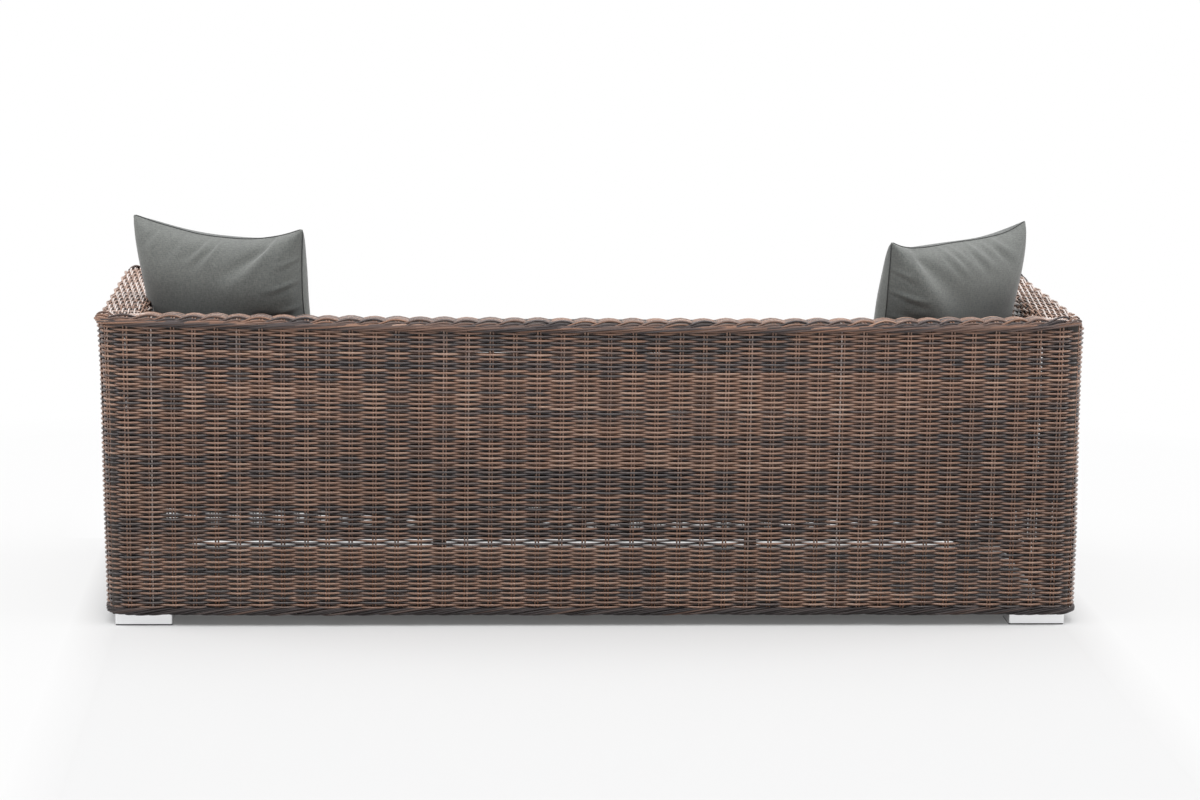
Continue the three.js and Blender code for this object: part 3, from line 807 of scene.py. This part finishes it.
def inflate(piece, pressure, frames, pinned, stiffness, restKey=None):
    modifier = piece.modifiers.new("Puff", "CLOTH")
    cloth = modifier.settings
    cloth.quality = clothMotion["quality"]
    cloth.mass = clothMotion["mass"]
    cloth.tension_stiffness = stiffness
    cloth.compression_stiffness = stiffness / 2
    cloth.shear_stiffness = stiffness / 4
    cloth.bending_stiffness = clothMotion["bending"]
    cloth.use_pressure = True
    cloth.uniform_pressure_force = pressure
    cloth.effector_weights.gravity = 0
    if restKey:
        cloth.rest_shape_key = piece.data.shape_keys.key_blocks[restKey]
    group = piece.vertex_groups.new(name="held")
    group.add([int(k) for k in pinned], 1.0, "REPLACE")
    cloth.vertex_group_mass = "held"
    for number in range(1, frames + 1):
        scene.frame_set(number)
    puffed = piece.evaluated_get(bpy.context.evaluated_depsgraph_get())
    shaped = readVectors(puffed.data.vertices, "co")
    piece.modifiers.remove(modifier)
    if restKey:
        piece.shape_key_clear()
    setMeshPoints(piece, shaped)
    scene.frame_set(1)


def finishSoft(piece):
    deselectAll()
    piece.select_set(True)
    bpy.context.view_layer.objects.active = piece
    smooth = piece.modifiers.new("Round", "SUBSURF")
    smooth.levels = smooth.render_levels = 1
    bpy.ops.object.modifier_apply(modifier="Round")
    bpy.ops.object.shade_smooth()


# Throw pillows: two panels sewn on one seam that the filling pulls in between its four tips.
# The seam is held on its curve while the panels, cut larger than it, are filled
pillow = {
    "size": 0.452, "cells": 62, "edge": 0.004, "fill": 0.075, "uneven": 0.0016, "frames": 20,
    "stiffness": 22, "lean": 12.0, "wallClear": 0.002, "seamRadius": 0.0014, "wobble": 0.0012,
    "puckerWidth": 0.0065, "tipRound": 0.0025, "sides": 0.026, "foot": 0.006,
    "left": {"inner": (0.6266, 0.335, 0.853), "outer": (1.0045, 0.090, 0.853), "cut": 0.471,
             "pressure": 6.0, "ears": (2.5, 2.0), "top": 0.037, "sign": 1,
             "shift": -0.10, "longer": 0.012, "seed": 5,
             "folds": [(-0.71, 47, 0.140, 8.5, 0.016), (-0.08, 30, 0.085, 3.2, 0.008),
                       (0.06, 36, 0.070, 3.0, 0.008), (0.33, 24, 0.080, 1.8, 0.010),
                       (0.63, 32, 0.055, 2.6, 0.008)],
             "puckers": [(0.72, 0.040, 2.4), (0.50, 0.065, 3.2), (0.24, 0.055, 2.6),
                         (0.02, 0.060, 3.0)]},
    "right": {"inner": (-0.6301, 0.335, 0.834), "outer": (-0.9755, 0.050, 0.849), "cut": 0.482,
              "pressure": 12.0, "ears": (5.0, 4.5), "top": 0.029, "sign": -1,
              "shift": 0.03, "longer": 0.002, "seed": 8,
              "folds": [(0.41, 46, 0.070, -4.2, 0.010), (0.24, 40, 0.050, -1.8, 0.008),
                        (0.05, 38, 0.085, -3.4, 0.010), (-0.20, 38, 0.085, -2.4, 0.009),
                        (-0.36, 40, 0.095, -3.2, 0.010), (-0.76, 38, 0.175, 10.0, 0.026)],
              "puckers": [(0.72, 0.045, 2.6), (0.50, 0.070, 4.0), (0.26, 0.060, 2.8),
                          (0.05, 0.060, 2.8)]}}


def cutPillow(side):
    plan = pillow[side]
    half = pillow["size"] / 2
    deselectAll()
    bpy.ops.mesh.primitive_grid_add(x_subdivisions=pillow["cells"], y_subdivisions=pillow["cells"],
                                    size=2 * half)
    piece = bpy.context.active_object
    piece.name = f"throwPillow_{side}"
    thick = piece.modifiers.new("Cover", "SOLIDIFY")
    thick.thickness, thick.offset = pillow["edge"], 0
    bpy.ops.object.modifier_apply(modifier="Cover")
    points = meshPoints(piece)
    a, b = points[:, 0] / half, points[:, 1] / half
    facing = np.sign(points[:, 2])
    flat = np.column_stack([a, b, facing])
    rim = np.where(np.maximum(np.abs(a), np.abs(b)) > 0.999)[0]
    cut = piece.data.attributes.new("cut", "FLOAT_VECTOR", "POINT")
    cut.data.foreach_set("vector", flat.astype(np.float32).ravel())
    enlarged = plan["cut"] / pillow["size"]
    laid = points * (enlarged, enlarged, 1)
    power = np.where(b > 0, np.where(a < 0, plan["ears"][0], plan["ears"][1]), 2.0)
    ears = 1 - np.abs(a) ** power
    sag = np.where(b > 0, plan["top"], pillow["foot"]) * ears * (1 + plan["shift"] * a)
    points[:, 0] = a * (half - pillow["sides"] * (1 - b * b) * a * a)
    points[:, 1] = b * (half + plan["longer"] * (b < 0)) - np.sign(b) * sag * b * b
    points[:, :2] -= pillow["tipRound"] * np.sign(flat[:, :2]) * (np.abs(a * b) ** 14)[:, None]
    swell = np.sqrt(np.clip((1 - a ** 4) * (1 - b ** 4), 0, 1))
    uneven = pillow["uneven"] * lumps(a, b, plan["seed"], 9, 2, 9)
    points[:, 2] += facing * swell * (pillow["fill"] + uneven)
    wave = np.sin(a * 5.1 + b * 3.3 + plan["seed"]) + 0.6 * np.sin(a * 11 - b * 9 + 2)
    points[rim, 2] += (pillow["wobble"] * wave * (1 - (a * b) ** 4))[rim]
    piece.shape_key_add(name="Basis").data.foreach_set("co", points.astype(np.float32).ravel())
    piece.shape_key_add(name="laidFlat").data.foreach_set("co", laid.astype(np.float32).ravel())
    setMeshPoints(piece, points)
    return piece, rim


def seamPath(points):
    half = len(points) // 2
    count = int(round(math.sqrt(half)))
    index = np.arange(half).reshape(count, count)
    loop = np.concatenate([index[0, :-1], index[:-1, -1], index[-1, :0:-1], index[:0:-1, 0], index[0, :1]])
    rope = ((points[loop] + points[loop + half]) / 2)[:-1]
    for _ in range(2):
        rope = rope / 2 + (np.roll(rope, 1, axis=0) + np.roll(rope, -1, axis=0)) / 4
    return np.vstack([rope, rope[:1]])


# Places the pillow by its two upper tips: across runs to the outer one, and the back panel faces
# the corner
def standPillow(points, side):
    inner, outer = (np.array(pillow[side][key]) for key in ("inner", "outer"))
    across = (outer - inner) / np.linalg.norm(outer - inner)
    level = np.array([-across[1], across[0], 0]) * pillow[side]["sign"]
    level /= np.linalg.norm(level)
    upright = np.cross(across, level) * pillow[side]["sign"]
    lean = math.radians(pillow["lean"])
    rise = upright * math.cos(lean) + level * math.sin(lean)
    facing = level * math.cos(lean) - upright * math.sin(lean)
    middle = (inner + outer) / 2 - rise * pillow["size"] / 2
    return middle + points @ np.array([across, rise, facing])


def settlePillow(points, side):
    sign = pillow[side]["sign"]
    wallX = innerX - halfSkin - pillow["wallClear"]
    wallY = innerY - halfSkin - pillow["wallClear"]
    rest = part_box(f"throw_pillow_{side}")[0].z
    below = np.clip((topHigh.z - 0.004 - points[:, 2]) / 0.03, 0, 1)
    points[:, 0] -= sign * np.maximum(points[:, 0] * sign - wallX, 0) * below
    points[:, 1] -= np.maximum(points[:, 1] - wallY, 0) * below
    points[:, 2] = np.maximum(points[:, 2], rest)
    return points


# Folds fall from the upper seam towards the outer side, and puckers leave the inner seam
def creaseBack(piece, side):
    points = meshPoints(piece)
    cut = readVectors(piece.data.attributes["cut"].data, "vector")
    normals = readVectors(piece.data.vertex_normals, "vector")
    half = pillow["size"] / 2
    u, v, back = cut[:, 0] * half, cut[:, 1] * half, cut[:, 2] > 0
    rise = np.zeros(len(points))
    lines = []
    for place, slant, reach, depth, wide in pillow[side]["folds"]:
        turn = math.radians(slant)
        lines.append(((place * half, half), (math.sin(turn), -math.cos(turn)), reach, depth, wide))
    for place, reach, depth in pillow[side]["puckers"]:
        lines.append(((-half, place * half), (0.97, -0.24), reach, -depth, pillow["puckerWidth"]))
    for (startU, startV), (du, dv), reach, depth, wide in lines:
        along = (u - startU) * du + (v - startV) * dv
        aside = (u - startU) * dv - (v - startV) * du
        bow = aside + 0.10 * along ** 2 / reach
        width = wide * (0.7 + 0.8 * np.clip(along / reach, 0, 1))
        fade = np.clip(along / (0.20 * reach), 0, 1) * np.clip((reach * 1.25 - along) / (0.80 * reach), 0, 1)
        ridge = np.exp(-(bow / width) ** 2) - 0.60 * np.exp(-((bow - 1.6 * width) / width) ** 2)
        rise += depth * 0.001 * ridge * fade * back
    setMeshPoints(piece, points + normals * rise[:, None])


for side in ("left", "right"):
    piece, rim = cutPillow(side)
    inflate(piece, pillow[side]["pressure"], pillow["frames"], rim, pillow["stiffness"], "laidFlat")
    cover = meshPoints(piece)
    print("pillow", side, "spans", np.ptp(cover, axis=0).round(4))
    cover = settlePillow(standPillow(cover, side), side)
    if side == "right":
        piece.data.flip_normals()
    setMeshPoints(piece, cover)
    finishSoft(piece)
    creaseBack(piece, side)
    dress(piece, clothCanvas)
    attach(piece, f"throw_pillow_{side}")
    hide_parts(f"throw_pillow_{side}")
    # Seam bead along the rim, in the darkened canvas: painted shade of the groove
    seam = Bundle()
    seam.add(seamPath(cover), (0.3, 0.2, 0.9), pillow["seamRadius"], 0.5, 8)
    seam.build(f"throwPillowSeam_{side}", (), seamShadeCanvas, f"throw_pillow_{side}")
print("pillows filled")


# Seat cushions: boxed, piped at both edges, each filling its third of the seat
cushion = {
    "bevel": 0.012, "voxel": 0.0095, "inset": 0.004, "crown": 0.004, "pressure": 3.0, "frames": 16,
    "stiffness": 18, "mostRise": 0.020, "piping": 0.0032, "pipingOut": 0.0005, "sideClear": 0.0008,
    "cornerRound": 0.022, "deckClear": 0.0006, "rumple": 0.0004, "seed": 12}


def loopAround(wide, deep, corner, height, steps=8):
    points = []
    for sx, sy, start in ((1, 1, 0), (-1, 1, 90), (-1, -1, 180), (1, -1, 270)):
        for k in range(steps + 1):
            angle = math.radians(start + 90 * k / steps)
            points.append((sx * (wide - corner) + corner * math.cos(angle),
                           sy * (deep - corner) + corner * math.sin(angle), height))
    full = []
    for first, second in zip(points, points[1:] + points[:1]):
        count = max(1, int(math.dist(first, second) / 0.02))
        full += [np.array(first) + (np.array(second) - first) * k / count for k in range(count)]
    return np.array(full + full[:1])


def makeCushion():
    low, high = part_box("seat_cushion_middle")
    wide, deep, thick = ((high[k] - low[k]) / 2 for k in range(3))
    deselectAll()
    bpy.ops.mesh.primitive_cube_add(size=1)
    piece = bpy.context.active_object
    body = np.array([wide, deep, thick - cushion["crown"]]) - cushion["inset"]
    setMeshPoints(piece, meshPoints(piece) * 2 * body)
    soften = piece.modifiers.new("Edges", "BEVEL")
    soften.width, soften.segments = cushion["bevel"], 3
    bpy.ops.object.modifier_apply(modifier="Edges")
    piece.data.remesh_voxel_size = cushion["voxel"]
    bpy.ops.object.voxel_remesh()
    points = meshPoints(piece)
    span = body - 0.002
    side = (np.abs(points[:, 0]) > span[0] - 0.010) | (np.abs(points[:, 1]) > span[1] - 0.010)
    held = np.where(side & (np.abs(points[:, 2]) > span[2] - 0.012))[0]
    rumple = cushion["rumple"] * lumps(points[:, 0], points[:, 1], cushion["seed"], 8, 8, 32)
    points[:, 2] += rumple * np.sign(points[:, 2]) * ~side
    setMeshPoints(piece, points)
    inflate(piece, cushion["pressure"], cushion["frames"], held, cushion["stiffness"])
    moved = meshPoints(piece) - points
    length = np.linalg.norm(moved, axis=1)
    moved *= np.minimum(1, cushion["mostRise"] / np.maximum(length, 1e-6))[:, None]
    points = points + moved
    for axis, limit in ((0, wide), (1, deep)):
        room = limit - cushion["sideClear"]
        points[:, axis] = np.clip(points[:, axis], -room, room)
    points[:, 2] = np.maximum(points[:, 2], -thick + cushion["deckClear"])
    setMeshPoints(piece, points)
    finishSoft(piece)
    print("cushion spans", np.ptp(meshPoints(piece), axis=0).round(4), "faces", len(piece.data.polygons))
    return piece, body


pattern, cushionBody = makeCushion()
for place in ("left", "middle", "right"):
    nodeName = f"seat_cushion_{place}"
    low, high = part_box(nodeName)
    centre = np.array([(low[k] + high[k]) / 2 for k in range(3)])
    piece = pattern.copy()
    piece.data = pattern.data.copy()
    piece.name = f"seatCushion_{place}"
    scene.collection.objects.link(piece)
    turned = (-1, 1, 1) if place == "right" else (1, 1, 1)
    setMeshPoints(piece, meshPoints(piece) * turned + centre)
    if place == "right":
        piece.data.flip_normals()
    dress(piece, clothCanvas)
    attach(piece, nodeName)
    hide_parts(nodeName)
    piping = Bundle()
    halfWide, halfDeep, halfHigh = cushionBody + (cushion["pipingOut"], cushion["pipingOut"], -0.004)
    for level in (halfHigh, -halfHigh):
        path = loopAround(halfWide, halfDeep, cushion["cornerRound"], level)
        piping.add(path + centre, (0, 0, 1), cushion["piping"], 0.5, 8)
    piping.build(f"seatCushionPiping_{place}", (), clothCanvas, nodeName)
bpy.data.objects.remove(pattern)
print("cushions filled")


# Feet and frame keep their solids
def makeMetalMaterial(name, colour, roughness, grain):
    f = Finish(name)
    brushed = f.noise(f.stretched(f.place(), grain), 1.0, 4, 0.6)
    tone = f.mix(brushed, [c * 0.90 for c in colour], [min(1, c * 1.05) for c in colour])
    return f.set(Base_Color=tone, Metallic=1.0, Roughness=roughness + brushed * 0.12,
                 Normal=f.bump(brushed, 0.08, 0.0004))


def makePlainMaterial(name, colour, roughness, scale):
    f = Finish(name)
    speckle = f.noise(f.place(), scale, 3)
    tone = f.mix(speckle, [c * 0.8 for c in colour], [min(1, c * 1.15) for c in colour])
    return f.set(Base_Color=tone, Roughness=roughness, Normal=f.bump(speckle, 0.15, 0.0003))


nodeFinishes = {
    "foot_glide": makePlainMaterial("glidePlastic", (0.02, 0.02, 0.021), 0.6, 700),
    "foot_screw": makeMetalMaterial("screwSteel", (0.62, 0.62, 0.63), 0.3, (200, 200, 200)),
    "foot": makeMetalMaterial("brushedAluminium", (0.90, 0.905, 0.91), 0.30, (6, 6, 900)),
    "": makePlainMaterial("tubeCoat", (0.035, 0.027, 0.023), 0.55, 500)}
for nodeName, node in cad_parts.items():
    dress(node, next(material for start, material in nodeFinishes.items() if nodeName.startswith(start)))
print("metal finished")


# Floor, light and background. For camera and mirror rays the lit floor is blended to a white glow: far off
# as the bright backdrop, beside and before the sofa as painted light over its cast shadow, and at most 0.13
# under the back half of the sofa and behind it as painted light lifting the shadow there
stageLook = {
    "floorSize": 60, "floorColour": (0.595, 0.595, 0.597), "floorRoughness": 0.9, "floorShine": 0.1,
    "skyLight": 0.22, "nearRadius": 2.4, "farRadius": 4.0, "blendFrom": (0, 1.6, 0),
    "beside": (1.0, 8.0, 0.80), "before": (0.38, 9.0), "beforeSides": (1.9, 1.2),
    "under": (0.08, 0.42, 0.13),
    "suns": {"overhead": (0, 70, 50, 2.35), "fromLeft": (92, 38, 50, 1.3),
             "fromRight": (-88, 38, 50, 1.5), "farSide": (180, 60, 50, 0.3)}}


def makeFloor():
    deselectAll()
    bpy.ops.mesh.primitive_plane_add(size=stageLook["floorSize"], location=(0, 0, 0))
    floor = bpy.context.active_object
    floor.name = "studioFloor"
    f = Finish("studioPaper")
    f.set(Base_Color=stageLook["floorColour"], Roughness=stageLook["floorRoughness"],
          Specular_IOR_Level=stageLook["floorShine"])
    glow = f.nodes.new("ShaderNodeEmission")
    where = f.place()
    distance = f.add("ShaderNodeVectorMath", {"operation": "DISTANCE"}, where, stageLook["blendFrom"], out=1)
    near = stageLook["nearRadius"]
    far = ((distance - near) / (stageLook["farRadius"] - near)).clamped()
    x, deep, _ = f.add("ShaderNodeSeparateXYZ", {}, where, out=None)
    across = x.maths("ABSOLUTE")
    # Painted light: glow beside the sofa's ends and before it covers the shadow the sofa casts there
    start, gain, most = stageLook["beside"]
    beside = ((across - start) * gain).clamped() * most
    start, gain = stageLook["before"]
    end, endGain = stageLook["beforeSides"]
    before = ((deep * -1 - start) * gain).clamped() * ((end - across) * endGain).clamped()
    # Painted light: a weak glow under the back half of the sofa and behind it lifts its shadow
    start, gain, most = stageLook["under"]
    under = ((deep - start) * gain).clamped().maths("MINIMUM", most)
    for other in (beside, before, under):
        far = far.maths("MAXIMUM", other)
    ray = f.add("ShaderNodeLightPath", {}, out=None)
    seen, mirroredRay = ray[0], ray[3]
    blend = f.nodes.new("ShaderNodeMixShader")
    f.feed(blend.inputs[0], (seen + mirroredRay).clamped() * far)
    f.links.new(f.shader.outputs[0], blend.inputs[1])
    f.links.new(glow.outputs[0], blend.inputs[2])
    f.links.new(blend.outputs[0], f.nodes["Material Output"].inputs[0])
    floor.data.materials.append(f.material)


def makeSky():
    scene.world = bpy.data.worlds.new("studioSky")
    f = Finish("studioSky", scene.world)
    ray = f.add("ShaderNodeLightPath", {}, out=None)
    shown = ray[0].maths("MAXIMUM", ray[3])
    f.shader.inputs[0].default_value = (1, 1, 1, 1)
    f.feed(f.shader.inputs[1], f.add("ShaderNodeMapRange", {}, shown, 0.0, 1.0, stageLook["skyLight"], 1.0))


def addSun(name, heading, height, softness, power):
    data = bpy.data.lights.new(name, "SUN")
    data.energy, data.angle = power, math.radians(softness)
    lamp = bpy.data.objects.new(name, data)
    scene.collection.objects.link(lamp)
    turn, rise = math.radians(heading), math.radians(height)
    away = Vector((math.sin(turn) * math.cos(rise), math.cos(turn) * math.cos(rise), math.sin(rise)))
    lamp.rotation_euler = away.to_track_quat("Z", "Y").to_euler()


makeFloor()
makeSky()
for name, values in stageLook["suns"].items():
    addSun(name, *values)
print("stage lit")
